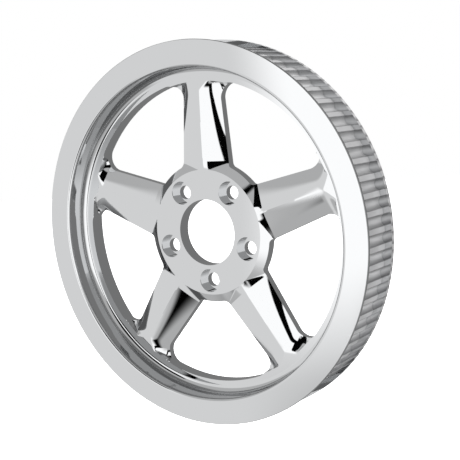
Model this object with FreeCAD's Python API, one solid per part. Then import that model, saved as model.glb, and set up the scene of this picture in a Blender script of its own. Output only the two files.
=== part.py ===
import FreeCAD, Part
import math
import os

# Sizes in millimetres and degrees

# Belt teeth
TOOTH_COUNT = 70
BELT_PITCH = 14.0
PITCH_LINE_LIFT = 1.4  # height of the belt's pitch line above the lands
GROOVE_WIDTH = 8.75  # mouth of one groove, measured across the lands
GROOVE_DEPTH = 2.6
FIRST_LAND = 1.6  # direction of one land's middle, from +X towards +Z

# Rim and flanges
RIM_WIDTH = 45.0
FLANGE_HEIGHT = 5.9  # above the lands
FRONT_FLANGE = 2.3  # thickness at the lands
REAR_FLANGE = 4.3
FLANGE_BEVEL = 5.0
RIM_INSIDE_DIA = 276.8
LIP_ROUND = 3.0  # front inner edge of the rim
WEB_FILLET = 6.0  # rim wall to web, front and rear
EDGE_BREAK = 0.4

# Web
WEB_THICKNESS = 11.5
WEB_RECESS = 20.0  # front rim face to the web's front face
RING_WIDTH = 10.3  # flat ring beside the rim, from the rim's wall to the crown spaces and windows

# Hub
BORE_DIA = 56.1
HUB_FACE_DIA = 106.6
HUB_FOOT_DIA = 120.0
BOLT_COUNT = 5
BOLT_CIRCLE_DIA = 82.55
BOLT_HOLE_DIA = 11.7
HEAD_SEAT_DIA = 19.8
HEAD_SEAT_DEPTH = 6.0

# Spokes
SPOKE_COUNT = 5
FIRST_SPOKE = 90.0
SPOKE_WIDTH_AT_HUB = 46.4  # at the hub's foot
SPOKE_WIDTH_AT_RING = 35.6  # at the flat ring
CROWN_RADIUS_AT_HUB = 200.0  # each half of the crown
CROWN_RADIUS_AT_RING = 34.0
CROWN_RIDGE_AT_HUB = 9.0  # lean of each half at the crest; none at the flat ring
CROWN_SET_BACK = 0.1  # crest below the web's front face
CROWN_DROP = 6.5  # crest to the floor beside the spoke
CROWN_FOOT_ROUND = 14.0  # hollow round between the crown and that floor
RING_BLEND = 10.0
WINDOW_HUB_CORNER = 4.5
WINDOW_RING_CORNER = 10.0

# Derived positions: the hub's rear face is y = 0 and the front looks towards -Y
land_r = TOOTH_COUNT * BELT_PITCH / (2.0 * math.pi) - PITCH_LINE_LIFT
outer_r = land_r + FLANGE_HEIGHT
rim_inside_r = RIM_INSIDE_DIA / 2.0
ring_r = rim_inside_r - RING_WIDTH
hub_face_r = HUB_FACE_DIA / 2.0
hub_foot_r = HUB_FOOT_DIA / 2.0
web_front_y = -WEB_THICKNESS
front_y = web_front_y - WEB_RECESS
rear_y = front_y + RIM_WIDTH
half_step = math.radians(180.0 / SPOKE_COUNT)


def crown_y(x):
    """Axial position of the crown at the hub's foot, x to the side of its crest."""
    ridge = math.radians(CROWN_RIDGE_AT_HUB)
    turn = math.asin(math.sin(ridge) + abs(x) / CROWN_RADIUS_AT_HUB)
    return web_front_y + CROWN_SET_BACK + CROWN_RADIUS_AT_HUB * (math.cos(ridge) - math.cos(turn))


# The hub's skirt runs through the corners where the crowns start
ramp_turn = math.atan2(SPOKE_WIDTH_AT_HUB / 2.0, hub_foot_r)
ramp_end_r = math.hypot(SPOKE_WIDTH_AT_HUB / 2.0, hub_foot_r)
skirt_slope = (crown_y(SPOKE_WIDTH_AT_HUB / 2.0) - web_front_y) / (ramp_end_r - hub_face_r)

AXIS_START = FreeCAD.Vector(0, 0, 0)
AXIS = FreeCAD.Vector(0, 1, 0)


def section_point(r, y):
    """A point of a turned section, at radius r and axial position y."""
    return FreeCAD.Vector(r, y, 0)


def plan_point(r, angle, y=0.0):
    """A point at radius r and an angle in radians from +X towards +Z."""
    return FreeCAD.Vector(r * math.cos(angle), y, r * math.sin(angle))


def line(a, b):
    return Part.LineSegment(a, b).toShape()


def arc(a, through, b):
    return Part.Arc(a, through, b).toShape()


def turned(edges, degrees=360.0):
    """Solid of revolution of a closed section about the pulley's axis."""
    return Part.Face(Part.Wire(edges)).revolve(AXIS_START, AXIS, degrees)


def closed_lines(points):
    """Straight edges that join the points into a closed outline."""
    return [line(a, b) for a, b in zip(points, points[1:] + points[:1])]


def around(shape, count):
    """Copies of a shape at equal steps about the pulley's axis."""
    copies = []
    for index in range(count):
        turned_copy = shape.copy()
        turned_copy.rotate(AXIS_START, AXIS, 360.0 / count * index)
        copies.append(turned_copy)
    return copies


def pointed_at(shape, degrees):
    """Turn a shape made along +Z so that it lies at an angle from +X towards +Z."""
    shape.rotate(AXIS_START, AXIS, 90.0 - degrees)
    return shape


def blank():
    """Turned rim, web and hub in one section, with the bore through it."""
    bore_r = BORE_DIA / 2.0
    corner = math.sqrt(0.5)
    fillet_r = rim_inside_r - WEB_FILLET
    fillet_mid_r = fillet_r + WEB_FILLET * corner
    front_fillet_y = web_front_y - WEB_FILLET
    lip_r = rim_inside_r + LIP_ROUND
    lip_y = front_y + LIP_ROUND

    bore_front = section_point(bore_r, web_front_y)
    front_web_end = section_point(fillet_r, web_front_y)
    front_fillet_mid = section_point(fillet_mid_r, front_fillet_y + WEB_FILLET * corner)
    front_wall_start = section_point(rim_inside_r, front_fillet_y)
    front_wall_end = section_point(rim_inside_r, lip_y)
    lip_mid = section_point(lip_r - LIP_ROUND * corner, lip_y - LIP_ROUND * corner)
    lip_end = section_point(lip_r, front_y)
    front_edge = section_point(outer_r - EDGE_BREAK, front_y)
    front_rim = section_point(outer_r, front_y + EDGE_BREAK)
    rear_rim = section_point(outer_r, rear_y - EDGE_BREAK)
    rear_edge = section_point(outer_r - EDGE_BREAK, rear_y)
    rear_inner_edge = section_point(rim_inside_r + EDGE_BREAK, rear_y)
    rear_wall_start = section_point(rim_inside_r, rear_y - EDGE_BREAK)
    rear_wall_end = section_point(rim_inside_r, WEB_FILLET)
    rear_fillet_mid = section_point(fillet_mid_r, WEB_FILLET - WEB_FILLET * corner)
    rear_web_end = section_point(fillet_r, 0)
    bore_rear = section_point(bore_r, 0)

    return turned([
        line(bore_front, front_web_end),
        arc(front_web_end, front_fillet_mid, front_wall_start),
        line(front_wall_start, front_wall_end),
        arc(front_wall_end, lip_mid, lip_end),
        line(lip_end, front_edge),
        line(front_edge, front_rim),
        line(front_rim, rear_rim),
        line(rear_rim, rear_edge),
        line(rear_edge, rear_inner_edge),
        line(rear_inner_edge, rear_wall_start),
        line(rear_wall_start, rear_wall_end),
        arc(rear_wall_end, rear_fillet_mid, rear_web_end),
        line(rear_web_end, bore_rear),
        line(bore_rear, bore_front),
    ])


def toothed_core():
    """Prism with the belt's round grooves, as wide as the rim."""
    step = 2.0 * math.pi / TOOTH_COUNT
    half_land = step / 2.0 - math.asin(GROOVE_WIDTH / (2.0 * land_r))
    bottom_r = land_r - GROOVE_DEPTH
    edges = []
    for index in range(TOOTH_COUNT):
        middle = math.radians(FIRST_LAND) + step * index
        land_start = plan_point(land_r, middle - half_land, front_y)
        land_middle = plan_point(land_r, middle, front_y)
        land_end = plan_point(land_r, middle + half_land, front_y)
        bottom = plan_point(bottom_r, middle + step / 2.0, front_y)
        next_land = plan_point(land_r, middle + step - half_land, front_y)
        edges.append(arc(land_start, land_middle, land_end))
        edges.append(arc(land_end, bottom, next_land))
    return Part.Face(Part.Wire(edges)).extrude(AXIS * RIM_WIDTH)


def belt_channel():
    """Space between the bevelled flanges, down to the lands and into the grooves."""
    inner_r = land_r - GROOVE_DEPTH - 1.0
    clear_r = outer_r + 1.0
    slope = math.tan(math.radians(FLANGE_BEVEL))

    def front_face(r):
        return section_point(r, front_y + FRONT_FLANGE - (r - land_r) * slope)

    def rear_face(r):
        return section_point(r, rear_y - REAR_FLANGE + (r - land_r) * slope)

    ring = turned(closed_lines([
        front_face(inner_r),
        front_face(clear_r),
        rear_face(clear_r),
        rear_face(inner_r),
    ]))
    return ring.cut(toothed_core())


def spoke_value(at_hub, at_ring, along):
    """A spoke size that runs evenly from the hub's foot to the flat ring."""
    return at_hub + (at_ring - at_hub) * (along - hub_foot_r) / (ring_r - hub_foot_r)


def crown_section(along, top_y):
    """Outline above one spoke: both halves of the crown, hollow rounds, and the floor beside it."""
    radius = spoke_value(CROWN_RADIUS_AT_HUB, CROWN_RADIUS_AT_RING, along)
    ridge = math.radians(max(spoke_value(CROWN_RIDGE_AT_HUB, 0.0, along), 0.0))
    crest_y = web_front_y + CROWN_SET_BACK
    floor_y = crest_y + CROWN_DROP
    turn = math.acos((radius * math.cos(ridge) + CROWN_FOOT_ROUND - CROWN_DROP) / (radius + CROWN_FOOT_ROUND))

    def crown(angle):
        return radius * (math.sin(angle) - math.sin(ridge)), crest_y + radius * (math.cos(ridge) - math.cos(angle))

    half_x, half_y = crown((ridge + turn) / 2.0)
    meet_x, meet_y = crown(turn)
    foot_x = meet_x + CROWN_FOOT_ROUND * math.sin(turn)
    mid_x = foot_x - CROWN_FOOT_ROUND * math.sin(turn / 2.0)
    mid_y = floor_y - CROWN_FOOT_ROUND * (1.0 - math.cos(turn / 2.0))

    def at(x, y):
        return FreeCAD.Vector(x, y, along)

    return Part.Wire([
        line(at(-ring_r, floor_y), at(-foot_x, floor_y)),
        arc(at(-foot_x, floor_y), at(-mid_x, mid_y), at(-meet_x, meet_y)),
        arc(at(-meet_x, meet_y), at(-half_x, half_y), at(0, crest_y)),
        arc(at(0, crest_y), at(half_x, half_y), at(meet_x, meet_y)),
        arc(at(meet_x, meet_y), at(mid_x, mid_y), at(foot_x, floor_y)),
        line(at(foot_x, floor_y), at(ring_r, floor_y)),
        line(at(ring_r, floor_y), at(ring_r, top_y)),
        line(at(ring_r, top_y), at(-ring_r, top_y)),
        line(at(-ring_r, top_y), at(-ring_r, floor_y)),
    ])


def crown_space():
    """Space in front of one spoke's crown, from the hub's foot to the flat ring."""
    top_y = web_front_y - RING_BLEND - 4.0
    low_y = web_front_y + CROWN_SET_BACK + CROWN_DROP + 1.0
    sector = turned(closed_lines([
        section_point(hub_face_r, top_y),
        section_point(ring_r, top_y),
        section_point(ring_r, low_y),
        section_point(hub_face_r, low_y),
    ]), 360.0 / SPOKE_COUNT)
    sector.rotate(AXIS_START, AXIS, -90.0 - 180.0 / SPOKE_COUNT)
    over_crown = Part.makeLoft(
        [crown_section(hub_foot_r, top_y - 1.0), crown_section(ring_r + 1.0, top_y - 1.0)], True, True)
    space = over_crown.common(sector)

    def on_ring(edge):
        spots = [vertex.Point for vertex in edge.Vertexes]
        below_face = min(p.y for p in spots) > web_front_y
        return below_face and all(abs(math.hypot(p.x, p.z) - ring_r) < 0.001 for p in spots)

    return space.makeFillet(RING_BLEND, [e for e in space.Edges if on_ring(e)])


def hub_ramp(hand):
    """Space in front of one half of the straight-ruled ramp from the hub's face to the crown."""
    half_width = hand * SPOKE_WIDTH_AT_HUB / 2.0

    def on_hub(share):
        turn = hand * ramp_turn * share
        return FreeCAD.Vector(hub_face_r * math.sin(turn), web_front_y, hub_face_r * math.cos(turn))

    def on_crown(share):
        return FreeCAD.Vector(half_width * share, crown_y(half_width * share), hub_foot_r)

    ramp = Part.makeRuledSurface(
        arc(on_hub(0.0), on_hub(0.5), on_hub(1.0)), arc(on_crown(0.0), on_crown(0.5), on_crown(1.0)))
    return ramp.extrude(AXIS * -WEB_THICKNESS)


def skirt_space():
    """Space in front of the hub's skirt, from one spoke's ramp to the next."""
    end_r = ramp_end_r + 2.0
    end_y = web_front_y + (end_r - hub_face_r) * skirt_slope
    top_y = web_front_y - WEB_THICKNESS
    span = 360.0 / SPOKE_COUNT - 2.0 * math.degrees(ramp_turn)
    space = turned(closed_lines([
        section_point(hub_face_r, web_front_y),
        section_point(end_r, end_y),
        section_point(end_r, top_y),
        section_point(hub_face_r, top_y),
    ]), span)
    space.rotate(AXIS_START, AXIS, -90.0 + (360.0 / SPOKE_COUNT - span) / 2.0)
    return space


def window():
    """Opening between two spokes, straight through the web, with rounded corners."""
    start_y = web_front_y - 1.0
    depth = WEB_THICKNESS + 2.0

    def side(along, hand):
        half_width = spoke_value(SPOKE_WIDTH_AT_HUB, SPOKE_WIDTH_AT_RING, along) / 2.0
        spoke = plan_point(along, math.pi / 2.0 + hand * half_step, start_y)
        across = plan_point(half_width, hand * half_step + (0.0 if hand > 0 else math.pi))
        return spoke + across

    near = hub_foot_r * math.cos(half_step)
    far = ring_r / math.cos(half_step)
    outline = closed_lines([side(near, 1), side(far, 1), side(far, -1), side(near, -1)])
    gap = Part.Face(Part.Wire(outline)).extrude(AXIS * depth)
    start = FreeCAD.Vector(0, start_y, 0)
    ring = Part.makeCylinder(ring_r, depth, start, AXIS)
    ring = ring.cut(Part.makeCylinder(hub_foot_r, depth, start, AXIS))
    opening = gap.common(ring)

    def upright_at(r):
        found = []
        for edge in opening.Edges:
            ends = [vertex.Point for vertex in edge.Vertexes]
            upright = abs(ends[0].y - ends[-1].y) > depth / 2.0
            if upright and abs(math.hypot(ends[0].x, ends[0].z) - r) < 0.001:
                found.append(edge)
        return found

    opening = opening.makeFillet(WINDOW_RING_CORNER, upright_at(ring_r))
    return opening.makeFillet(WINDOW_HUB_CORNER, upright_at(hub_foot_r))


def bolt_hole():
    """Through hole with a flat seat for the bolt's head."""
    centre = plan_point(BOLT_CIRCLE_DIA / 2.0, math.pi / 2.0, web_front_y)
    hole = Part.makeCylinder(BOLT_HOLE_DIA / 2.0, WEB_THICKNESS + 2.0, centre - AXIS, AXIS)
    seat = Part.makeCylinder(HEAD_SEAT_DIA / 2.0, HEAD_SEAT_DEPTH + 1.0, centre - AXIS, AXIS)
    return hole.fuse(seat)


first_window = FIRST_SPOKE - 180.0 / SPOKE_COUNT
crown_spaces = around(pointed_at(crown_space(), FIRST_SPOKE), SPOKE_COUNT)
ramp_spaces = [ramp for hand in (-1, 1) for ramp in around(pointed_at(hub_ramp(hand), FIRST_SPOKE), SPOKE_COUNT)]
skirt_spaces = around(pointed_at(skirt_space(), FIRST_SPOKE), SPOKE_COUNT)
windows = around(pointed_at(window(), first_window), SPOKE_COUNT)
bolt_holes = around(pointed_at(bolt_hole(), first_window), BOLT_COUNT)

pulley = blank()
pulley = pulley.cut(crown_spaces + ramp_spaces + skirt_spaces)
pulley = pulley.cut(windows)
pulley = pulley.cut(bolt_holes)
pulley = pulley.cut(belt_channel())
pulley = pulley.removeSplitter()
pulley = pulley.Solids[0]

os.makedirs("parts", exist_ok=True)
pulley.exportStep("parts/belt_pulley.step")
print("solid valid:", pulley.isValid(), "volume cm3:", round(pulley.Volume / 1000.0, 2))
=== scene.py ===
import math

import bmesh
import bpy
from bpy.props import FloatProperty, IntProperty, PointerProperty, StringProperty
from mathutils import Matrix, Vector


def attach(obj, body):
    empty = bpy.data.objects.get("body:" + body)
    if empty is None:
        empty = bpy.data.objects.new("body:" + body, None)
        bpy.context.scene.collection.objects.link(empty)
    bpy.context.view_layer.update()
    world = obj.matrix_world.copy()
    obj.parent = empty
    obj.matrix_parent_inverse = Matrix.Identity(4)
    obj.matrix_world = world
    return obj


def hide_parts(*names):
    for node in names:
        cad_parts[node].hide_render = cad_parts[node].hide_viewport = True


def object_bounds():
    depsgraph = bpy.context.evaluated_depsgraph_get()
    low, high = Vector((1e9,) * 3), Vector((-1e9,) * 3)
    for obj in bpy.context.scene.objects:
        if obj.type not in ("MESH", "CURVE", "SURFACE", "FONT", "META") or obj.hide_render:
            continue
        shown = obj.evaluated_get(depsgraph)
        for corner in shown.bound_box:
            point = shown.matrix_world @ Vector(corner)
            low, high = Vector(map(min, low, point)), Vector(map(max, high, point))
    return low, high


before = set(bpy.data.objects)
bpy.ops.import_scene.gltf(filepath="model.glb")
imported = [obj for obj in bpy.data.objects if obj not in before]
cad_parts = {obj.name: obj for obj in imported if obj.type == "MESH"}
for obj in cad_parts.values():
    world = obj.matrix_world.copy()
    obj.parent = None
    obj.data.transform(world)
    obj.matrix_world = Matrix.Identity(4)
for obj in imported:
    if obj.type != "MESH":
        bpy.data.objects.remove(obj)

bl_info = {
    "name": "Belt Pulley",
    "version": (1, 0, 0),
    "blender": (4, 2, 0),
    "location": "3D View > Sidebar > Pulley",
    "description": "Builds a chrome belt pulley with crowned spokes and its studio",
    "category": "Object",
}

CAD_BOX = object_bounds()
CAD_LOW, CAD_HIGH = CAD_BOX
MM = 0.001
AXIS = Vector((0.0, 1.0, 0.0))
RIGHT = Vector((1.0, 0.0, 0.0))
UP = Vector((0.0, 0.0, 1.0))
CENTRE = Vector((0.0, 0.0, 0.0))
WHITE = "FFFFFF"
TOUCH = 1e-6  # points that should lie together are nearer than this, in metres
MERGE = 1e-5  # points nearer than this are made one, in metres


def length(name, description, millimetres):
    """A length property whose default is written in millimetres."""
    return FloatProperty(name=name, description=description, default=millimetres * MM, unit="LENGTH")


def angle(name, description, degrees):
    """An angle property whose default is written in degrees."""
    return FloatProperty(name=name, description=description, default=math.radians(degrees), subtype="ANGLE")


def factor(name, description, value):
    """A property for a share between nothing and one."""
    return FloatProperty(name=name, description=description, default=value, subtype="FACTOR")


def colour(name, description, hex_value):
    """A colour property that holds an sRGB hex value."""
    return StringProperty(name=name, description=description, default=hex_value)


class PulleySizes(bpy.types.PropertyGroup):
    """Sizes of the pulley: those of its solid, with finer blends on the web and square flanges"""

    outer_radius: FloatProperty(
        name="Outer radius", description="Radius of both flanges", default=CAD_HIGH[0], unit="LENGTH")
    front: FloatProperty(
        name="Front", description="Position of the front rim face", default=CAD_LOW[1], unit="LENGTH")
    rear: FloatProperty(
        name="Rear", description="Position of the rear rim face", default=CAD_HIGH[1], unit="LENGTH")
    edge_break: length("Edge break", "Chamfer on the rim's outer edges", 0.4)
    rim_inside_radius: length("Rim inside radius", "Inner wall of the rim", 138.4)
    lip_round: length("Lip round", "Round on the rim's front inner edge", 3.0)
    web_fillet: length("Web fillet", "Hollow round between rim and web", 6.0)
    web_thickness: length("Web thickness", "Web and hub, front to rear", 11.5)
    ring_radius: length("Ring radius", "Inner edge of the flat ring beside the rim", 128.1)

    tooth_count: IntProperty(name="Teeth", description="Belt teeth round the rim", default=70)
    land_radius: length("Land radius", "Radius of the lands between the grooves", 154.572)
    groove_width: length("Groove width", "Mouth of one groove", 8.75)
    groove_depth: length("Groove depth", "Depth of one groove below the lands", 2.6)
    first_land: angle("First land", "Direction of one land's middle, from +X towards +Z", 1.6)
    front_flange: length("Front flange", "Thickness of the front flange at the lands", 2.3)
    rear_flange: length("Rear flange", "Thickness of the rear flange at the lands", 4.3)
    flange_bevel: angle("Flange bevel", "Lean of the flanges' inner faces", 0.0)

    bore_radius: length("Bore radius", "Bore through the hub", 28.05)
    hub_face_radius: length("Hub face radius", "Edge of the hub's flat front face", 53.3)
    hub_foot_radius: length("Hub foot radius", "Hub wall in a window", 60.0)
    hub_slope: angle("Hub slope", "Lean of the skirt below the hub's face", 27.5)
    ramp_slope: angle("Ramp slope", "Lean of the ramp between skirt and crown", 9.0)
    ramp_softness: length("Ramp softness", "Height over which skirt and ramp run together", 0.15)
    bolt_circle_radius: length("Bolt circle radius", "Circle of the bolt holes", 41.275)
    bolt_hole_radius: length("Bolt hole radius", "Through hole of one bolt", 5.85)
    head_seat_radius: length("Head seat radius", "Counterbore for one bolt head", 9.9)
    head_seat_depth: length("Head seat depth", "Depth of the counterbore", 6.0)

    spoke_count: IntProperty(name="Spokes", description="Spokes, windows and bolts", default=5)
    spoke_width_hub: length("Spoke width at hub", "Width at the hub's foot", 46.4)
    spoke_width_ring: length("Spoke width at ring", "Width at the flat ring", 35.6)
    crown_radius_hub: length("Crown radius at hub", "Round of each half at the hub's foot", 200.0)
    crown_radius_ring: length("Crown radius at ring", "Round of each half at the flat ring", 34.0)
    crown_ridge: angle("Crown ridge", "Lean of each half at the crest by the hub; none at the ring", 9.0)
    crown_set_back: length("Crown set back", "Crest below the web's front face", 0.1)
    crown_drop: length("Crown drop", "Crest to the floor beside the spoke", 6.5)
    crown_foot_round: length("Crown foot round", "Hollow round beside the crown", 14.0)
    ring_lip: length("Ring lip", "Flat ring's reach past the windows, at the spokes", 1.2)
    ring_rise: length("Ring rise", "Rise of the spoke's front before the flat ring", 1.9)
    ring_rise_run: length("Ring rise run", "Run of that rise along the spoke", 12.3)
    ring_wall: length("Ring wall", "Run of the steep wall at the flat ring's edge", 1.0)
    window_hub_corner: length("Window hub corner", "Corner round at the hub", 4.5)
    window_ring_corner: length("Window ring corner", "Corner round at the ring", 12.0)


class PulleyFinish(bpy.types.PropertyGroup):
    """Colours and gloss of the plated surfaces"""

    chrome: colour("Chrome", "Colour of the polished plate", "CECFD0")
    chrome_roughness: factor("Chrome roughness", "Roughness of the polished plate", 0.03)
    land: colour("Land", "Dull plate on the lands", "B8B8B9")
    # Painted shade: the grooves' sides are darker than the lands
    groove_side_shade: colour("Groove side", "Dull plate with painted shade on the grooves' sides", "A8A8A9")
    # Painted highlight: the grooves' floors are lighter than the lands
    groove: colour("Groove", "Dull plate with a painted highlight on the grooves' floors", "C4C4C5")
    # Painted shade: dark lines along the lands' edges, where the track's corners fall into shade
    land_edge_shade: colour("Track edge", "Painted shade lines along the edges of the lands", "7C7C7D")
    track_metal: factor("Track metal", "Share of bare metal in the dull plate of the track", 0.35)
    track_roughness: factor("Track roughness", "Roughness of the plated tooth track", 0.35)


class PulleyStage(bpy.types.PropertyGroup):
    """Camera, floor and studio cards"""

    camera_azimuth: angle("Camera azimuth", "Camera to the right of the pulley's front", 34.449)
    camera_elevation: angle("Camera elevation", "Camera above the pulley's axis", 7.463)
    camera_roll: angle("Camera roll", "Turn of the camera about its view", -3.319)
    camera_distance: length("Camera distance", "Camera to the middle of the front rim face", 816.7)
    camera_side: length("Camera side", "Camera moved to its right", 30.77)
    camera_rise: length("Camera rise", "Camera moved upwards", 4.94)
    camera_lens: FloatProperty(
        name="Lens", description="Focal length in millimetres", default=77.187, unit="CAMERA")
    floor_drop: length("Floor drop", "Floor below the pulley's lowest point", 500.0)
    card_distance: length("Card distance", "Studio cards from the pulley's middle", 4000.0)
    floor: colour("Floor", "Pale floor", "F2F2F2")
    lamp_size: length("Lamp size", "Width of the overhead lamp", 2000.0)
    lamp_height: length("Lamp height", "Overhead lamp above the pulley's axis", 2000.0)
    lamp_power: FloatProperty(
        name="Lamp power", description="Overhead lamp in watts", default=60.0, unit="POWER")
    softbox: colour("Softbox", "White softboxes in front", WHITE)
    softbox_strength: FloatProperty(
        name="Softbox strength", description="Softboxes against the white room", default=1.56)
    flag: colour("Flag", "Black flags between the softboxes", "030303")
    ceiling: colour("Ceiling", "Grey ceiling and ground", "D2D2D2")
    zenith: colour("Zenith", "Darker grey straight above and below", "7D7D7D")
    back: colour("Back", "Dark grey wall behind", "8C8C8C")


# Helpers


def linear(hex_value):
    """Linear RGBA of an sRGB hex value."""
    channels = [int(hex_value[i:i + 2], 16) / 255.0 for i in (0, 2, 4)]
    return tuple(c / 12.92 if c <= 0.04045 else ((c + 0.055) / 1.055) ** 2.4 for c in channels) + (1.0,)


def add_node(tree, kind, settings=None, inputs=None, links=None):
    """A node with its settings, input values and links (input name to another node's output)."""
    node = tree.nodes.new(kind)
    for name, value in (settings or {}).items():
        setattr(node, name, value)
    for name, value in (inputs or {}).items():
        node.inputs[name].default_value = value
    for name, output in (links or {}).items():
        tree.links.new(output, node.inputs[name])
    return node


def empty_material(name):
    """A material without nodes, and its node tree."""
    material = bpy.data.materials.new(name)
    material.use_nodes = True
    material.node_tree.nodes.clear()
    return material, material.node_tree


def object_from(bm, name, materials):
    """A scene object that takes over a finished bmesh."""
    mesh = bpy.data.meshes.new(name)
    bm.to_mesh(mesh)
    bm.free()
    for material in materials:
        mesh.materials.append(material)
    piece = bpy.data.objects.new(name, mesh)
    bpy.context.scene.collection.objects.link(piece)
    return piece


def polar(radius, turn, y=0.0):
    """A point at a radius, turned from the spoke's middle (+Z) towards +X."""
    return Vector((radius * math.sin(turn), y, radius * math.cos(turn)))


def turn_of(vector):
    """Turn of a plan vector from +Z towards +X."""
    return math.atan2(vector.x, vector.z)


# Materials

POLISH_WAVE = 12.0 * MM
POLISH_WAVE_HEIGHT = 0.02 * MM
POLISH_HAZE = 2.0 * MM
CUTTER_MARK = 5.0 * MM
WAVE_RADIANS = 20.0  # what the wave texture turns for each unit of its scale

# Places of the track's painted tones of light and shade: shares of half a land, then of half a pitch
LAND_END = 0.75
EDGE_SHADE_START = 0.9
EDGE_SHADE_END = 1.1
GROOVE_SIDE_SHADE = 0.68
GROOVE_FLOOR_HIGHLIGHT = 0.9


def polished_chrome(finish):
    """Bright chrome plate on polished aluminium: mirror-like, with the faint unevenness of hand polishing."""
    material, tree = empty_material("Polished chrome plate")
    place = add_node(tree, "ShaderNodeTexCoord")
    # Polishing leaves slow waves and a fine haze
    waves = add_node(tree, "ShaderNodeTexNoise", inputs={"Scale": 1.0 / POLISH_WAVE, "Detail": 1.0},
                     links={"Vector": place.outputs["Object"]})
    haze = add_node(tree, "ShaderNodeTexNoise", inputs={"Scale": 1.0 / POLISH_HAZE, "Detail": 3.0},
                    links={"Vector": place.outputs["Object"]})
    rough = finish.chrome_roughness
    gloss = add_node(tree, "ShaderNodeMapRange", inputs={"To Min": rough * 0.7, "To Max": rough * 1.4},
                     links={"Value": haze.outputs["Fac"]})
    bump = add_node(tree, "ShaderNodeBump", inputs={"Strength": 0.02, "Distance": POLISH_WAVE_HEIGHT},
                    links={"Height": waves.outputs["Fac"]})
    shader = add_node(tree, "ShaderNodeBsdfPrincipled",
                      inputs={"Base Color": linear(finish.chrome), "Metallic": 1.0},
                      links={"Roughness": gloss.outputs["Result"], "Normal": bump.outputs["Normal"]})
    add_node(tree, "ShaderNodeOutputMaterial", links={"Surface": shader.outputs["BSDF"]})
    return material


def dull_plate_with_painted_shade(finish, sizes):
    """Dull plate of the tooth track, soft beside the chrome, with painted shade along the lands' edges and on
    the grooves' sides and a painted highlight brightest on the grooves' floors.
    """
    material, tree = empty_material("Dull plate with painted shade on the tooth track")
    place = add_node(tree, "ShaderNodeTexCoord")
    # Cutter marks run round the rim, drawn coarser than the real ones so that they can show
    marks = add_node(tree, "ShaderNodeTexWave",
                     settings={"wave_type": "BANDS", "bands_direction": "Y"},
                     inputs={"Scale": 2.0 * math.pi / CUTTER_MARK / WAVE_RADIANS, "Distortion": 1.5,
                             "Detail": 2.0},
                     links={"Vector": place.outputs["Object"]})
    rough = finish.track_roughness
    gloss = add_node(tree, "ShaderNodeMapRange", inputs={"To Min": rough * 0.95, "To Max": rough * 1.05},
                     links={"Value": marks.outputs["Fac"]})
    # Place round the rim, folded to run from the middle of a land to the middle of a groove, where the
    # painted shade and highlight are laid
    split = add_node(tree, "ShaderNodeSeparateXYZ", links={"Vector": place.outputs["Object"]})
    turn = add_node(tree, "ShaderNodeMath", settings={"operation": "ARCTAN2"},
                    links={0: split.outputs["Z"], 1: split.outputs["X"]})
    from_land = add_node(tree, "ShaderNodeMath", settings={"operation": "SUBTRACT"},
                         inputs={1: sizes.first_land}, links={0: turn.outputs[0]})
    half_pitch = math.pi / sizes.tooth_count
    folded = add_node(tree, "ShaderNodeMath", settings={"operation": "PINGPONG"}, inputs={1: half_pitch},
                      links={0: from_land.outputs[0]})
    across = add_node(tree, "ShaderNodeMath", settings={"operation": "DIVIDE"}, inputs={1: half_pitch},
                      links={0: folded.outputs[0]})
    half_land = 1.0 - math.asin(sizes.groove_width / 2.0 / sizes.land_radius) / half_pitch
    # The ramp paints light and shade across each tooth: shade lines at the lands' edges, darker groove sides,
    # lighter groove floors
    shade = add_node(tree, "ShaderNodeValToRGB", links={"Fac": across.outputs[0]})
    tones = shade.color_ramp.elements
    tones[0].position, tones[0].color = half_land * LAND_END, linear(finish.land)
    tones[1].position, tones[1].color = GROOVE_FLOOR_HIGHLIGHT, linear(finish.groove)
    tones.new(half_land * EDGE_SHADE_START).color = linear(finish.land_edge_shade)
    tones.new(half_land * EDGE_SHADE_END).color = linear(finish.land_edge_shade)
    tones.new(GROOVE_SIDE_SHADE).color = linear(finish.groove_side_shade)
    shader = add_node(tree, "ShaderNodeBsdfPrincipled",
                      inputs={"Metallic": finish.track_metal},
                      links={"Base Color": shade.outputs["Color"], "Roughness": gloss.outputs["Result"]})
    add_node(tree, "ShaderNodeOutputMaterial", links={"Surface": shader.outputs["BSDF"]})
    return material


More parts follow.
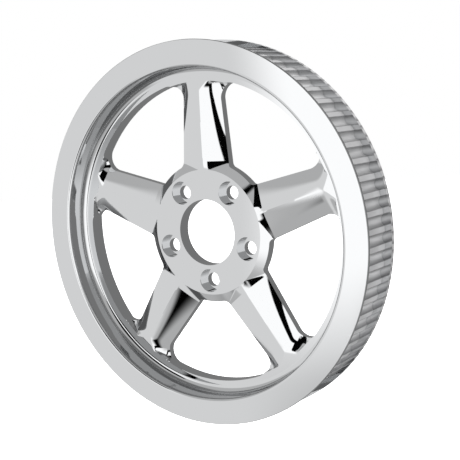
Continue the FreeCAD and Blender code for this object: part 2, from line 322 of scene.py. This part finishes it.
def card_material(name, hex_value, strength, azimuths, elevations, soft):
    """Evenly lit studio card that fades out at its edges, which are directions from the pulley's middle."""
    material, tree = empty_material(name)
    place = add_node(tree, "ShaderNodeTexCoord")
    split = add_node(tree, "ShaderNodeSeparateXYZ", links={"Vector": place.outputs["Object"]})
    ahead = add_node(tree, "ShaderNodeMath", settings={"operation": "MULTIPLY"}, inputs={1: -1.0},
                     links={0: split.outputs["Y"]})
    turn = add_node(tree, "ShaderNodeMath", settings={"operation": "ARCTAN2"},
                    links={0: split.outputs["X"], 1: ahead.outputs[0]})
    middle = math.radians(sum(azimuths) / 2.0)
    azimuth = add_node(tree, "ShaderNodeMath", settings={"operation": "WRAP"},
                       inputs={1: middle + math.pi, 2: middle - math.pi}, links={0: turn.outputs[0]})
    reach = add_node(tree, "ShaderNodeVectorMath", settings={"operation": "NORMALIZE"},
                     links={0: place.outputs["Object"]})
    rise = add_node(tree, "ShaderNodeSeparateXYZ", links={"Vector": reach.outputs[0]})
    elevation = add_node(tree, "ShaderNodeMath", settings={"operation": "ARCSINE"},
                         links={0: rise.outputs["Z"]})
    shown = None
    for value, ends, widths in ((azimuth, azimuths, soft[0]), (elevation, elevations, soft[1])):
        for edge, width in ((ends[0], widths[0]), (ends[1], -widths[1])):
            if not width:
                continue
            fade = add_node(tree, "ShaderNodeMapRange", settings={"interpolation_type": "SMOOTHSTEP"},
                            inputs={"From Min": math.radians(edge), "From Max": math.radians(edge + width)},
                            links={"Value": value.outputs[0]})
            shown = fade if shown is None else add_node(
                tree, "ShaderNodeMath", settings={"operation": "MULTIPLY"},
                links={0: shown.outputs[0], 1: fade.outputs[0]})
    glow = add_node(tree, "ShaderNodeEmission", inputs={"Color": linear(hex_value), "Strength": strength})
    surface = glow.outputs["Emission"]
    if shown:
        clear = add_node(tree, "ShaderNodeBsdfTransparent")
        mix = add_node(tree, "ShaderNodeMixShader",
                       links={0: shown.outputs[0], 1: clear.outputs["BSDF"], 2: surface})
        surface = mix.outputs["Shader"]
    add_node(tree, "ShaderNodeOutputMaterial", links={"Surface": surface})
    return material


# Form of the web

SEARCH_STEPS = 40


class WebForm:
    """Plan and front of one spoke, which runs along +Z."""

    def __init__(self, sizes):
        self.s = sizes
        self.half_step = math.pi / sizes.spoke_count
        self.front = -sizes.web_thickness
        self.flat_radius = sizes.rim_inside_radius - sizes.web_fillet
        half_hub = sizes.spoke_width_hub / 2.0
        half_ring = sizes.spoke_width_ring / 2.0
        self.side_start = Vector((half_hub, 0.0, sizes.hub_foot_radius))
        side_end = Vector((half_ring, 0.0, sizes.ring_radius))
        self.side_run = (side_end - self.side_start).normalized()
        self.side_out = AXIS.cross(self.side_run)
        if self.side_out.x < 0.0:
            self.side_out.negate()

    def corner_centre(self, from_axis, radius):
        """Centre of a window corner that touches the spoke's side at its outer end."""
        offset = self.side_start + self.side_out * radius
        along = offset.dot(self.side_run)
        reach = math.sqrt(from_axis ** 2 - offset.length_squared + along ** 2) - along
        return offset + self.side_run * reach

    def section_point(self, share, radius, ridge):
        """Across and drop on half a section: crest at share 0, crown's end at 1, foot of its hollow at 2."""
        s = self.s
        hollow = s.crown_foot_round
        turn = math.acos((radius * math.cos(ridge) + hollow - s.crown_drop) / (radius + hollow))
        if share <= 1.0:
            lean = ridge + (turn - ridge) * share
            return radius * Vector((math.sin(lean) - math.sin(ridge), math.cos(ridge) - math.cos(lean)))
        foot = radius * (math.sin(turn) - math.sin(ridge)) + hollow * math.sin(turn)
        lean = turn * (2.0 - share)
        return Vector((foot - hollow * math.sin(lean), s.crown_drop - hollow * (1.0 - math.cos(lean))))

    def crown_depth(self, across, along):
        """Depth of the crown below the web's front face, ruled between the sections at hub and ring."""
        s = self.s
        position = (along - s.hub_foot_radius) / (s.ring_radius - s.hub_foot_radius)
        low, high = 0.0, 2.0
        for _ in range(SEARCH_STEPS):
            share = (low + high) / 2.0
            near = self.section_point(share, s.crown_radius_hub, s.crown_ridge)
            point = near.lerp(self.section_point(share, s.crown_radius_ring, 0.0), position)
            if point.x < across:
                low = share
            else:
                high = share
        return s.crown_set_back + point.y

    def ramp_depth(self, across, along):
        """Depth between the hub's face and the start of the crown: a skirt, then a gentle ramp."""
        s = self.s
        crown = self.crown_depth(across, s.hub_foot_radius)
        run = s.hub_foot_radius - math.sqrt(s.hub_face_radius ** 2 - across ** 2)
        fall = min(math.tan(s.ramp_slope), crown / run)
        ramp = crown - fall * (s.hub_foot_radius - along)
        skirt = (math.hypot(across, along) - s.hub_face_radius) * math.tan(s.hub_slope)
        overlap = max(s.ramp_softness - abs(skirt - ramp), 0.0)
        return min(skirt, ramp) - overlap ** 2 / (4.0 * s.ramp_softness)

    def front_depth(self, point):
        """Depth of the web's front at a plan point: hub's ramp, or crown with its rise to the ring."""
        s = self.s
        from_axis = math.hypot(point.x, point.z)
        to_ring = s.ring_radius - s.ring_lip - from_axis
        if to_ring <= 0.0:
            return 0.0
        if point.z > s.hub_foot_radius - TOUCH:
            depth = self.crown_depth(abs(point.x), point.z)
            depth -= s.ring_rise * max(1.0 - to_ring / s.ring_rise_run, 0.0) ** 3
            depth *= min(to_ring / s.ring_wall, 1.0)
        else:
            depth = self.ramp_depth(abs(point.x), point.z)
        return max(depth, 0.0)


# Steps of the meshes
HUB_ARC_STEPS = 4
HUB_CORNER_STEPS = 28
RAMP_SIDE_STEPS = 2
SIDE_STEPS = 20
RING_CORNER_STEPS = 60
RING_ARC_STEPS = 40
SPOKE_ROWS = 20
HOLE_STEPS = 24
FILLET_STEPS = 8
LIP_STEPS = 6
TOOTH_STEPS = 10
RING_SNAP = 0.3 * MM
SHARP_ANGLE = math.radians(28.0)


def turn_vert(bm, vert, centre, turn, steps):
    """Spin a vertex about an axis along Y and return the last new vertex."""
    made = bmesh.ops.spin(bm, geom=[vert], cent=centre, axis=AXIS, angle=turn, steps=steps)
    return [v for v in made["geom_last"] if isinstance(v, bmesh.types.BMVert)][0]


def run_vert(bm, vert, target, steps):
    """Extrude a vertex in equal straight steps and return the last new vertex."""
    step = (target - vert.co) / steps
    made = bmesh.ops.spin(bm, geom=[vert], cent=CENTRE, axis=AXIS, dvec=step, angle=0.0, steps=steps)
    return [v for v in made["geom_last"] if isinstance(v, bmesh.types.BMVert)][0]


def chain_edges(start):
    """Edges of an open chain, in order from its first vertex."""
    edges = []
    vert = start
    while True:
        onward = [e for e in vert.link_edges if e not in edges]
        if not onward:
            return edges
        edges.append(onward[0])
        vert = onward[0].other_vert(vert)


def extruded(bm, edges):
    """Extrude edges in place and return the new edges and vertices."""
    made = bmesh.ops.extrude_edge_only(bm, edges=edges)["geom"]
    new_edges = [g for g in made if isinstance(g, bmesh.types.BMEdge)]
    new_verts = [g for g in made if isinstance(g, bmesh.types.BMVert)]
    rim_verts = set(new_verts)
    return [e for e in new_edges if e.verts[0] in rim_verts and e.verts[1] in rim_verts], new_verts


def window_chain(bm, form):
    """Half of a window's edge, from the middle of its hub side to the middle of its ring side."""
    s = form.s
    hub_corner = form.corner_centre(s.hub_foot_radius + s.window_hub_corner, s.window_hub_corner)
    ring_corner = form.corner_centre(s.ring_radius - s.window_ring_corner, s.window_ring_corner)
    hub_turn = turn_of(hub_corner)
    ring_turn = turn_of(ring_corner)
    to_side = turn_of(-form.side_out)

    def swing(start, end):
        return (end - start + math.pi) % (2.0 * math.pi) - math.pi

    first = bm.verts.new(polar(s.hub_foot_radius, form.half_step))
    vert = turn_vert(bm, first, CENTRE, hub_turn - form.half_step, HUB_ARC_STEPS)
    vert = turn_vert(bm, vert, hub_corner, swing(turn_of(-hub_corner), to_side), HUB_CORNER_STEPS)
    vert = run_vert(bm, vert, form.side_start, RAMP_SIDE_STEPS)
    vert = run_vert(bm, vert, ring_corner - form.side_out * s.window_ring_corner, SIDE_STEPS)
    vert = turn_vert(bm, vert, ring_corner, swing(to_side, ring_turn), RING_CORNER_STEPS)
    turn_vert(bm, vert, CENTRE, form.half_step - ring_turn, RING_ARC_STEPS)
    return chain_edges(first)


def middle_chain(bm, form):
    """Hub face edge, middle line of the spoke and outer edge of the flat ring, beside half a window."""
    s = form.s
    hub_corner = form.corner_centre(s.hub_foot_radius + s.window_hub_corner, s.window_hub_corner)
    ring_corner = form.corner_centre(s.ring_radius - s.window_ring_corner, s.window_ring_corner)
    column = form.half_step / (RING_CORNER_STEPS // 2 + RING_ARC_STEPS)

    first = bm.verts.new(polar(s.hub_face_radius, form.half_step))
    vert = turn_vert(bm, first, CENTRE, turn_of(hub_corner) - form.half_step, HUB_ARC_STEPS)
    vert = turn_vert(bm, vert, CENTRE, -turn_of(hub_corner), HUB_CORNER_STEPS // 2)
    vert = run_vert(bm, vert, Vector((0.0, 0.0, s.hub_foot_radius)), HUB_CORNER_STEPS // 2 + RAMP_SIDE_STEPS)
    vert = run_vert(bm, vert, Vector((0.0, 0.0, ring_corner.z)), SIDE_STEPS)
    vert = run_vert(bm, vert, Vector((0.0, 0.0, form.flat_radius)), RING_CORNER_STEPS // 2)
    vert = turn_vert(bm, vert, CENTRE, column * (RING_CORNER_STEPS // 2), RING_CORNER_STEPS // 2)
    turn_vert(bm, vert, CENTRE, column * RING_ARC_STEPS, RING_ARC_STEPS)
    return chain_edges(first)


def hub_face(bm, form, hub_edges, hole_radius, y):
    """Flat half sector of the hub, from its outer edge to the bore, with half a bolt hole left open."""
    s = form.s
    middle = polar(s.bolt_circle_radius, form.half_step, y)
    outwards = polar(1.0, form.half_step)
    hub_verts = {v for e in hub_edges for v in e.verts}
    first = max(hub_verts, key=lambda v: v.co.x)
    last = min(hub_verts, key=lambda v: v.co.x)
    before = set(bm.edges)
    vert = run_vert(bm, first, middle + outwards * hole_radius, 1)
    vert = turn_vert(bm, vert, middle, -math.pi, HOLE_STEPS)
    vert = run_vert(bm, vert, polar(s.bore_radius, form.half_step, y), 1)
    vert = turn_vert(bm, vert, CENTRE, -form.half_step, HUB_ARC_STEPS + HUB_CORNER_STEPS // 2)
    bm.edges.new((vert, last))
    edges = [e for e in bm.edges if e not in before]
    bmesh.ops.contextual_create(bm, geom=edges + hub_edges)

    def lying(centre, radius):
        return [e for e in edges if all(abs((v.co - centre).length - radius) < TOUCH for v in e.verts)]

    return lying(middle, hole_radius), lying(AXIS * y, s.bore_radius)


def half_sector(bm, form):
    """Web and hub from the middle of a spoke to the middle of a window."""
    s = form.s
    window = window_chain(bm, form)
    middle = middle_chain(bm, form)
    plan = bmesh.ops.bridge_loops(bm, edges=window + middle)["faces"]
    back = bmesh.ops.duplicate(bm, geom=plan)
    back_edges = back["edge_map"]
    back_faces = [g for g in back["geom"] if isinstance(g, bmesh.types.BMFace)]

    ends = set(window + middle)
    across = list({e for face in plan for e in face.edges} - ends)
    bmesh.ops.subdivide_edges(bm, edges=across, cuts=SPOKE_ROWS - 1, use_grid_fill=True)
    back_verts = {v for face in back_faces for v in face.verts}
    front_verts = set(bm.verts) - back_verts
    crisp = (s.ring_radius - s.hub_foot_radius) / 2.0
    for edge in bm.edges:
        if not front_verts.issuperset(edge.verts):
            continue
        beyond_foot = [v.co.z - s.hub_foot_radius for v in edge.verts]
        # The ramp meets the crown in a crease straight across the spoke
        if all(abs(z) < TOUCH for z in beyond_foot):
            edge.smooth = False
        # The crest is crisp on the half of the spoke next to the hub
        if all(abs(v.co.x) < TOUCH for v in edge.verts) and all(0.0 <= z < crisp for z in beyond_foot):
            edge.smooth = False
    window_verts = {v for e in window for v in e.verts}
    ring_edge = s.ring_radius - s.ring_lip
    for vert in front_verts:
        # Points near the top or the foot of the ring's small wall move onto it, for clean edges
        from_axis = math.hypot(vert.co.x, vert.co.z)
        for radius in (ring_edge, ring_edge - s.ring_wall):
            if abs(from_axis - radius) < RING_SNAP and vert not in window_verts:
                vert.co *= radius / from_axis
        vert.co.y = form.front + form.front_depth(vert.co)
    bmesh.ops.bridge_loops(bm, edges=window + [back_edges[e] for e in window])

    hub_steps = HUB_ARC_STEPS + HUB_CORNER_STEPS // 2
    front_hub = middle[:hub_steps]
    back_hub = [back_edges[e] for e in front_hub]
    for edge in front_hub:
        edge.smooth = False
    seat, bore = hub_face(bm, form, front_hub, s.head_seat_radius, form.front)
    hub_face(bm, form, back_hub, s.bolt_hole_radius, 0.0)

    hole_middle = polar(s.bolt_circle_radius, form.half_step)
    seat, verts = extruded(bm, seat)
    bmesh.ops.translate(bm, verts=verts, vec=AXIS * s.head_seat_depth)
    seat, verts = extruded(bm, seat)
    shrink = s.bolt_hole_radius / s.head_seat_radius
    bmesh.ops.scale(bm, verts=verts, vec=(shrink, 1.0, shrink), space=Matrix.Translation(-hole_middle))
    _, verts = extruded(bm, seat)
    bmesh.ops.translate(bm, verts=verts, vec=AXIS * (s.web_thickness - s.head_seat_depth))
    _, verts = extruded(bm, bore)
    bmesh.ops.translate(bm, verts=verts, vec=AXIS * s.web_thickness)


def tooth_point(s, turn):
    """Radius and turn of the tooth track nearest to an even column at this turn from +X towards +Z."""
    # Each tooth has a land at steps -1, 0 and 1, and the groove after it in the other steps
    pitch = 2.0 * math.pi / s.tooth_count
    column = round((turn - s.first_land) / pitch * TOOTH_STEPS)
    tooth = (column + 1) // TOOTH_STEPS
    step = column - tooth * TOOTH_STEPS
    land = s.first_land + tooth * pitch
    half_land = pitch / 2.0 - math.asin(s.groove_width / 2.0 / s.land_radius)
    if step < 2:
        return s.land_radius, land + step * half_land
    half_width = s.groove_width / 2.0
    groove_radius = (half_width ** 2 + s.groove_depth ** 2) / (2.0 * s.groove_depth)
    reach = math.asin(half_width / groove_radius)
    lean = -reach + 2.0 * reach * (step - 1) / (TOOTH_STEPS - 2)
    inward = s.land_radius - s.groove_depth + groove_radius * (1.0 - math.cos(lean))
    sideways = groove_radius * math.sin(lean)
    return math.hypot(inward, sideways), land + pitch / 2.0 + math.atan2(sideways, inward)


def rim_rows(form):
    """Radius and position of each ring of the rim's section, from the web's front round to its rear."""
    s = form.s
    quarter = math.pi / 2.0
    outer = s.outer_radius
    inside = s.rim_inside_radius
    lean = (outer - s.land_radius) * math.tan(s.flange_bevel)
    rows = []
    for step in range(1, FILLET_STEPS + 1):
        turn = quarter * step / FILLET_STEPS
        rows.append((form.flat_radius + s.web_fillet * math.sin(turn),
                     form.front - s.web_fillet * (1.0 - math.cos(turn))))
    for step in range(LIP_STEPS + 1):
        turn = quarter * step / LIP_STEPS
        rows.append((inside + s.lip_round * (1.0 - math.cos(turn)),
                     s.front + s.lip_round * (1.0 - math.sin(turn))))
    rows.append((outer - s.edge_break, s.front))
    rows.append((outer, s.front + s.edge_break))
    rows.append((outer, s.front + s.front_flange - lean))
    rows.append("front of the track")
    rows.append("rear of the track")
    rows.append((outer, s.rear - s.rear_flange + lean))
    rows.append((outer, s.rear - s.edge_break))
    rows.append((outer - s.edge_break, s.rear))
    rows.append((inside + s.edge_break, s.rear))
    rows.append((inside, s.rear - s.edge_break))
    for step in range(FILLET_STEPS + 1):
        turn = quarter * step / FILLET_STEPS
        rows.append((form.flat_radius + s.web_fillet * math.cos(turn),
                     s.web_fillet * (1.0 - math.sin(turn))))
    return rows


def rim(bm, form):
    """Rim drawn out of the web's front edge, ring by ring, until it closes on the web's rear edge."""
    s = form.s
    ring = [e for e in bm.edges if e.is_boundary and all(
        abs(v.co.y - form.front) < TOUCH and math.hypot(v.co.x, v.co.z) > s.ring_radius for v in e.verts)]
    turns = {v: math.atan2(v.co.z, v.co.x) for e in ring for v in e.verts}
    for row in rim_rows(form):
        old_faces = set(bm.faces)
        ring, verts = extruded(bm, ring)
        before = turns
        turns = {v: before[o] for v in verts for o in (e.other_vert(v) for e in v.link_edges) if o in before}
        for vert, turn in turns.items():
            if isinstance(row, str):
                radius, turn = tooth_point(s, turn)
                lean = (radius - s.land_radius) * math.tan(s.flange_bevel)
                near = row.startswith("front")
                y = s.front + s.front_flange - lean if near else s.rear - s.rear_flange + lean
            else:
                radius, y = row
            vert.co = (radius * math.cos(turn), y, radius * math.sin(turn))
        # The tooth track and the rear flange's outer face have the dull plate with its painted shade and
        # highlight, which also lays painted stripes round that outer face
        dull = row in ("rear of the track", (s.outer_radius, s.rear - s.edge_break))
        for face in set(bm.faces) - old_faces:
            face.material_index = int(dull)


def pulley_mesh(form):
    """The whole pulley: one half sector, mirrored, repeated round the axis, and closed by the rim."""
    bm = bmesh.new()
    half_sector(bm, form)
    bmesh.ops.mirror(bm, geom=bm.verts[:] + bm.edges[:] + bm.faces[:], merge_dist=TOUCH, axis="X")
    others = form.s.spoke_count - 1
    bmesh.ops.spin(bm, geom=bm.verts[:] + bm.edges[:] + bm.faces[:], cent=CENTRE, axis=AXIS,
                   angle=2.0 * form.half_step * others, steps=others, use_duplicate=True)
    bmesh.ops.remove_doubles(bm, verts=bm.verts, dist=MERGE)
    rim(bm, form)
    bmesh.ops.remove_doubles(bm, verts=bm.verts, dist=MERGE)
    bmesh.ops.recalc_face_normals(bm, faces=bm.faces)
    for face in bm.faces:
        face.smooth = True
    for edge in bm.edges:
        if edge.is_manifold and edge.calc_face_angle() > SHARP_ANGLE:
            edge.smooth = False
    return bm


# Operators


class PULLEY_OT_build_pulley(bpy.types.Operator):
    """Build the chrome pulley with its tooth track, spokes and hub"""

    bl_idname = "pulley.build_pulley"
    bl_label = "Build Pulley"

    def execute(self, context):
        form = WebForm(context.scene.pulley_sizes)
        finish = context.scene.pulley_finish
        bm = pulley_mesh(form)
        open_edges = sum(not e.is_manifold for e in bm.edges)
        if open_edges:
            raise RuntimeError("the pulley's mesh has %d open edges" % open_edges)
        piece = object_from(bm, "chrome_belt_pulley", [polished_chrome(finish), dull_plate_with_painted_shade(finish, form.s)])
        normals = piece.modifiers.new("Flat faces stay flat", "WEIGHTED_NORMAL")
        normals.keep_sharp = True
        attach(piece, "root")
        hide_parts("belt_pulley")
        return {"FINISHED"}


# Studio cards: name, colour, share of the card distance, azimuths, elevations and their soft ends in degrees
CARDS = (
    ("ceiling_card", "ceiling", 1.0, (-180.0, 180.0), (13.0, 90.0), ((0.0, 0.0), (6.0, 0.0))),
    ("zenith_card", "zenith", 0.98, (-180.0, 180.0), (45.0, 90.0), ((0.0, 0.0), (15.0, 0.0))),
    ("left_ground", "ceiling", 1.0, (-115.0, -40.0), (-90.0, -28.0), ((0.0, 10.0), (0.0, 6.0))),
    ("front_ground", "ceiling", 0.99, (-34.0, 245.0), (-90.0, -15.0), ((8.0, 0.0), (0.0, 7.0))),
    ("nadir_card", "zenith", 0.98, (-180.0, 180.0), (-90.0, -50.0), ((0.0, 0.0), (0.0, 12.0))),
    ("back_wall", "back", 0.95, (45.0, 262.0), (-65.0, 60.0), ((30.0, 8.0), (8.0, 8.0))),
    ("upper_flag", "flag", 0.94, (-28.0, 12.0), (8.5, 33.0), ((1.0, 2.0), (0.0, 3.0))),
    ("lower_flag", "flag", 0.94, (-25.8, 3.2), (-33.0, 9.0), ((4.0, 0.8), (9.0, 0.0))),
    ("softbox", "softbox", 0.92, (-33.5, -4.3), (-18.5, 9.5), ((4.5, 1.0), (9.0, 0.5))),
    ("right_softbox", "softbox", 0.93, (2.6, 60.0), (-45.0, 14.5), ((0.8, 27.0), (25.0, 1.5))),
)
CARD_STEP = math.radians(3.0)
FLOOR_REACH = 2.0  # floor's radius against the card distance
FLOOR_SEGMENTS = 96
SENSOR_WIDTH = 36.0
CLIP_END = 50.0


def card(name, hex_value, distance, azimuths, elevations, soft, strength):
    """Curved studio card between two azimuths, from the front to the right, and two elevations."""
    bm = bmesh.new()
    low, high = (math.radians(e) for e in elevations)
    start, end = (math.radians(a) for a in azimuths)
    first = bm.verts.new((0.0, -distance * math.cos(low), distance * math.sin(low)))
    steps = max(2, round((high - low) / CARD_STEP))
    bmesh.ops.spin(bm, geom=[first], cent=CENTRE, axis=-RIGHT, angle=high - low, steps=steps)
    bmesh.ops.rotate(bm, verts=bm.verts, cent=CENTRE, matrix=Matrix.Rotation(start, 3, UP))
    steps = max(2, round((end - start) / CARD_STEP))
    bmesh.ops.spin(bm, geom=bm.verts[:] + bm.edges[:], cent=CENTRE, axis=UP, angle=end - start, steps=steps)
    piece = object_from(bm, name, [card_material(name, hex_value, strength, azimuths, elevations, soft)])
    piece.visible_camera = False
    piece.visible_diffuse = False
    piece.visible_shadow = False


class PULLEY_OT_set_stage(bpy.types.Operator):
    """Set up the floor, the studio cards, the light and the camera"""

    bl_idname = "pulley.set_stage"
    bl_label = "Set Stage"

    def execute(self, context):
        stage = context.scene.pulley_stage
        sizes = context.scene.pulley_sizes
        floor_z = -sizes.outer_radius - stage.floor_drop
        self.white_world(context.scene)
        self.floor(stage, floor_z)
        self.cards(stage)
        self.light(stage)
        self.camera(context.scene, stage, sizes)
        context.scene.view_settings.view_transform = "Standard"
        return {"FINISHED"}

    def white_world(self, scene):
        """White all round, for the camera and for what the metal mirrors past the cards."""
        world = bpy.data.worlds.new("White studio")
        world.use_nodes = True
        tree = world.node_tree
        tree.nodes.clear()
        light = add_node(tree, "ShaderNodeBackground", inputs={"Color": linear(WHITE), "Strength": 1.0})
        add_node(tree, "ShaderNodeOutputWorld", links={"Surface": light.outputs["Background"]})
        scene.world = world

    def floor(self, stage, floor_z):
        """Pale floor that shows as white to the camera and keeps the pulley's shadow."""
        material, tree = empty_material("Pale floor")
        path = add_node(tree, "ShaderNodeLightPath")
        paint = add_node(tree, "ShaderNodeBsdfDiffuse", inputs={"Color": linear(stage.floor)})
        lift = add_node(tree, "ShaderNodeEmission", inputs={"Color": linear(WHITE)},
                        links={"Strength": path.outputs["Is Camera Ray"]})
        both = add_node(tree, "ShaderNodeAddShader",
                        links={0: paint.outputs["BSDF"], 1: lift.outputs["Emission"]})
        add_node(tree, "ShaderNodeOutputMaterial", links={"Surface": both.outputs["Shader"]})
        bm = bmesh.new()
        bmesh.ops.create_circle(bm, cap_ends=True, segments=FLOOR_SEGMENTS,
                                radius=FLOOR_REACH * stage.card_distance)
        bmesh.ops.translate(bm, verts=bm.verts, vec=(0.0, 0.0, floor_z))
        floor = object_from(bm, "floor", [material])
        floor.visible_glossy = False

    def cards(self, stage):
        """Cards that the metal mirrors: grey above and below, white softboxes, black flags, dark behind."""
        for name, paint, share, azimuths, elevations, soft in CARDS:
            hex_value = getattr(stage, paint)
            distance = stage.card_distance * share
            strength = stage.softbox_strength if paint == "softbox" else 1.0
            card(name, hex_value, distance, azimuths, elevations, soft, strength)

    def light(self, stage):
        """Large soft lamp overhead, for the shadow on the floor."""
        lamp = bpy.data.lights.new("Overhead softbox", "AREA")
        lamp.shape = "DISK"
        lamp.size = stage.lamp_size
        lamp.energy = stage.lamp_power
        softbox = bpy.data.objects.new("overhead_softbox", lamp)
        softbox.location = UP * stage.lamp_height
        softbox.visible_glossy = False
        softbox.visible_camera = False
        bpy.context.scene.collection.objects.link(softbox)

    def camera(self, scene, stage, sizes):
        """Camera at the photograph's place, found by fitting the pulley's circles."""
        azimuth = stage.camera_azimuth
        elevation = stage.camera_elevation
        level = RIGHT * math.sin(azimuth) - AXIS * math.cos(azimuth)
        back = level * math.cos(elevation) + UP * math.sin(elevation)
        right = UP.cross(back).normalized()
        up = back.cross(right)
        turn = Matrix.Rotation(stage.camera_roll, 3, back)
        right = turn @ right
        up = turn @ up
        data = bpy.data.cameras.new("Photo camera")
        data.lens = stage.camera_lens
        data.sensor_width = SENSOR_WIDTH
        data.clip_end = CLIP_END
        camera = bpy.data.objects.new("photo_camera", data)
        place = AXIS * sizes.front + back * stage.camera_distance
        place += right * stage.camera_side + up * stage.camera_rise
        camera.matrix_world = Matrix.Translation(place) @ Matrix((right, up, back)).transposed().to_4x4()
        scene.collection.objects.link(camera)
        scene.camera = camera


class PULLEY_PT_panel(bpy.types.Panel):
    """Sidebar list of the pulley's steps"""

    bl_idname = "PULLEY_PT_panel"
    bl_label = "Belt Pulley"
    bl_space_type = "VIEW_3D"
    bl_region_type = "UI"
    bl_category = "Pulley"

    def draw(self, context):
        self.layout.operator(PULLEY_OT_build_pulley.bl_idname)
        self.layout.operator(PULLEY_OT_set_stage.bl_idname)


CLASSES = (PulleySizes, PulleyFinish, PulleyStage,
           PULLEY_OT_build_pulley, PULLEY_OT_set_stage, PULLEY_PT_panel)


def register():
    for cls in CLASSES:
        bpy.utils.register_class(cls)
    bpy.types.Scene.pulley_sizes = PointerProperty(type=PulleySizes)
    bpy.types.Scene.pulley_finish = PointerProperty(type=PulleyFinish)
    bpy.types.Scene.pulley_stage = PointerProperty(type=PulleyStage)


def unregister():
    del bpy.types.Scene.pulley_stage
    del bpy.types.Scene.pulley_finish
    del bpy.types.Scene.pulley_sizes
    for cls in reversed(CLASSES):
        bpy.utils.unregister_class(cls)


def main():
    register()
    bpy.ops.pulley.build_pulley()
    bpy.ops.pulley.set_stage()


if __name__ == "__main__":
    main()
